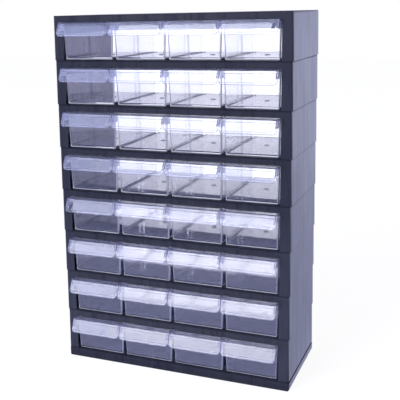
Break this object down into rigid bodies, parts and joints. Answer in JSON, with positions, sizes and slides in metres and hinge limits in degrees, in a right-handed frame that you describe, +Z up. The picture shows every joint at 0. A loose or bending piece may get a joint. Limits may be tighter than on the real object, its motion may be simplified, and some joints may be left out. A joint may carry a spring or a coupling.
{
  "type": "parts bin cabinet",
  "caption": "Stacked-tier cabinet with a base and rows of clear drawers that slide out to the front, each with a sloping pull and a label field.",
  "frame": {"origin": "centre of the base's underside, where the cabinet rests", "axes": "+Z up through the stack of tiers, -Y is the front that the drawers open towards, +X across to the right as seen from the front"},
  "size_m": [0.3028, 0.1477, 0.4498],
  "materials": {
    "frame_plastic": "black injection-moulded plastic with a slight sheen",
    "clear_plastic": "clear injection-moulded plastic, slightly hazy at the pulls"
  },
  "bodies": {
    "cabinet": {"base": "frame_plastic", "tier_1": "frame_plastic", "tier_2": "frame_plastic", "tier_3": "frame_plastic", "tier_4": "frame_plastic", "tier_5": "frame_plastic", "tier_6": "frame_plastic", "tier_7": "frame_plastic", "tier_8": "frame_plastic"},
    "drawer_r1c1": {"drawer_r1c1": "clear_plastic"},
    "drawer_r1c2": {"drawer_r1c2": "clear_plastic"},
    "drawer_r1c3": {"drawer_r1c3": "clear_plastic"},
    "drawer_r1c4": {"drawer_r1c4": "clear_plastic"},
    "drawer_r2c1": {"drawer_r2c1": "clear_plastic"},
    "drawer_r2c2": {"drawer_r2c2": "clear_plastic"},
    "drawer_r2c3": {"drawer_r2c3": "clear_plastic"},
    "drawer_r2c4": {"drawer_r2c4": "clear_plastic"},
    "drawer_r3c1": {"drawer_r3c1": "clear_plastic"},
    "drawer_r3c2": {"drawer_r3c2": "clear_plastic"},
    "drawer_r3c3": {"drawer_r3c3": "clear_plastic"},
    "drawer_r3c4": {"drawer_r3c4": "clear_plastic"},
    "drawer_r4c1": {"drawer_r4c1": "clear_plastic"},
    "drawer_r4c2": {"drawer_r4c2": "clear_plastic"},
    "drawer_r4c3": {"drawer_r4c3": "clear_plastic"},
    "drawer_r4c4": {"drawer_r4c4": "clear_plastic"},
    "drawer_r5c1": {"drawer_r5c1": "clear_plastic"},
    "drawer_r5c2": {"drawer_r5c2": "clear_plastic"},
    "drawer_r5c3": {"drawer_r5c3": "clear_plastic"},
    "drawer_r5c4": {"drawer_r5c4": "clear_plastic"},
    "drawer_r6c1": {"drawer_r6c1": "clear_plastic"},
    "drawer_r6c2": {"drawer_r6c2": "clear_plastic"},
    "drawer_r6c3": {"drawer_r6c3": "clear_plastic"},
    "drawer_r6c4": {"drawer_r6c4": "clear_plastic"},
    "drawer_r7c1": {"drawer_r7c1": "clear_plastic"},
    "drawer_r7c2": {"drawer_r7c2": "clear_plastic"},
    "drawer_r7c3": {"drawer_r7c3": "clear_plastic"},
    "drawer_r7c4": {"drawer_r7c4": "clear_plastic"},
    "drawer_r8c1": {"drawer_r8c1": "clear_plastic"},
    "drawer_r8c2": {"drawer_r8c2": "clear_plastic"},
    "drawer_r8c3": {"drawer_r8c3": "clear_plastic"},
    "drawer_r8c4": {"drawer_r8c4": "clear_plastic"}
  },
  "joints": [
    {"name": "slide_r1c1", "type": "slide", "parent": "cabinet", "child": "drawer_r1c1", "axis": [0, -1, 0], "range_m": [0, 0.1232]},
    {"name": "slide_r1c2", "type": "slide", "parent": "cabinet", "child": "drawer_r1c2", "axis": [0, -1, 0], "range_m": [0, 0.1232]},
    {"name": "slide_r1c3", "type": "slide", "parent": "cabinet", "child": "drawer_r1c3", "axis": [0, -1, 0], "range_m": [0, 0.1232]},
    {"name": "slide_r1c4", "type": "slide", "parent": "cabinet", "child": "drawer_r1c4", "axis": [0, -1, 0], "range_m": [0, 0.1232]},
    {"name": "slide_r2c1", "type": "slide", "parent": "cabinet", "child": "drawer_r2c1", "axis": [0, -1, 0], "range_m": [0, 0.1232]},
    {"name": "slide_r2c2", "type": "slide", "parent": "cabinet", "child": "drawer_r2c2", "axis": [0, -1, 0], "range_m": [0, 0.1232]},
    {"name": "slide_r2c3", "type": "slide", "parent": "cabinet", "child": "drawer_r2c3", "axis": [0, -1, 0], "range_m": [0, 0.1232]},
    {"name": "slide_r2c4", "type": "slide", "parent": "cabinet", "child": "drawer_r2c4", "axis": [0, -1, 0], "range_m": [0, 0.1232]},
    {"name": "slide_r3c1", "type": "slide", "parent": "cabinet", "child": "drawer_r3c1", "axis": [0, -1, 0], "range_m": [0, 0.1232]},
    {"name": "slide_r3c2", "type": "slide", "parent": "cabinet", "child": "drawer_r3c2", "axis": [0, -1, 0], "range_m": [0, 0.1232]},
    {"name": "slide_r3c3", "type": "slide", "parent": "cabinet", "child": "drawer_r3c3", "axis": [0, -1, 0], "range_m": [0, 0.1232]},
    {"name": "slide_r3c4", "type": "slide", "parent": "cabinet", "child": "drawer_r3c4", "axis": [0, -1, 0], "range_m": [0, 0.1232]},
    {"name": "slide_r4c1", "type": "slide", "parent": "cabinet", "child": "drawer_r4c1", "axis": [0, -1, 0], "range_m": [0, 0.1232]},
    {"name": "slide_r4c2", "type": "slide", "parent": "cabinet", "child": "drawer_r4c2", "axis": [0, -1, 0], "range_m": [0, 0.1232]},
    {"name": "slide_r4c3", "type": "slide", "parent": "cabinet", "child": "drawer_r4c3", "axis": [0, -1, 0], "range_m": [0, 0.1232]},
    {"name": "slide_r4c4", "type": "slide", "parent": "cabinet", "child": "drawer_r4c4", "axis": [0, -1, 0], "range_m": [0, 0.1232]},
    {"name": "slide_r5c1", "type": "slide", "parent": "cabinet", "child": "drawer_r5c1", "axis": [0, -1, 0], "range_m": [0, 0.1232]},
    {"name": "slide_r5c2", "type": "slide", "parent": "cabinet", "child": "drawer_r5c2", "axis": [0, -1, 0], "range_m": [0, 0.1232]},
    {"name": "slide_r5c3", "type": "slide", "parent": "cabinet", "child": "drawer_r5c3", "axis": [0, -1, 0], "range_m": [0, 0.1232]},
    {"name": "slide_r5c4", "type": "slide", "parent": "cabinet", "child": "drawer_r5c4", "axis": [0, -1, 0], "range_m": [0, 0.1232]},
    {"name": "slide_r6c1", "type": "slide", "parent": "cabinet", "child": "drawer_r6c1", "axis": [0, -1, 0], "range_m": [0, 0.1232]},
    {"name": "slide_r6c2", "type": "slide", "parent": "cabinet", "child": "drawer_r6c2", "axis": [0, -1, 0], "range_m": [0, 0.1232]},
    {"name": "slide_r6c3", "type": "slide", "parent": "cabinet", "child": "drawer_r6c3", "axis": [0, -1, 0], "range_m": [0, 0.1232]},
    {"name": "slide_r6c4", "type": "slide", "parent": "cabinet", "child": "drawer_r6c4", "axis": [0, -1, 0], "range_m": [0, 0.1232]},
    {"name": "slide_r7c1", "type": "slide", "parent": "cabinet", "child": "drawer_r7c1", "axis": [0, -1, 0], "range_m": [0, 0.1232]},
    {"name": "slide_r7c2", "type": "slide", "parent": "cabinet", "child": "drawer_r7c2", "axis": [0, -1, 0], "range_m": [0, 0.1232]},
    {"name": "slide_r7c3", "type": "slide", "parent": "cabinet", "child": "drawer_r7c3", "axis": [0, -1, 0], "range_m": [0, 0.1232]},
    {"name": "slide_r7c4", "type": "slide", "parent": "cabinet", "child": "drawer_r7c4", "axis": [0, -1, 0], "range_m": [0, 0.1232]},
    {"name": "slide_r8c1", "type": "slide", "parent": "cabinet", "child": "drawer_r8c1", "axis": [0, -1, 0], "range_m": [0, 0.1232]},
    {"name": "slide_r8c2", "type": "slide", "parent": "cabinet", "child": "drawer_r8c2", "axis": [0, -1, 0], "range_m": [0, 0.1232]},
    {"name": "slide_r8c3", "type": "slide", "parent": "cabinet", "child": "drawer_r8c3", "axis": [0, -1, 0], "range_m": [0, 0.1232]},
    {"name": "slide_r8c4", "type": "slide", "parent": "cabinet", "child": "drawer_r8c4", "axis": [0, -1, 0], "range_m": [0, 0.1232]}
  ]
}
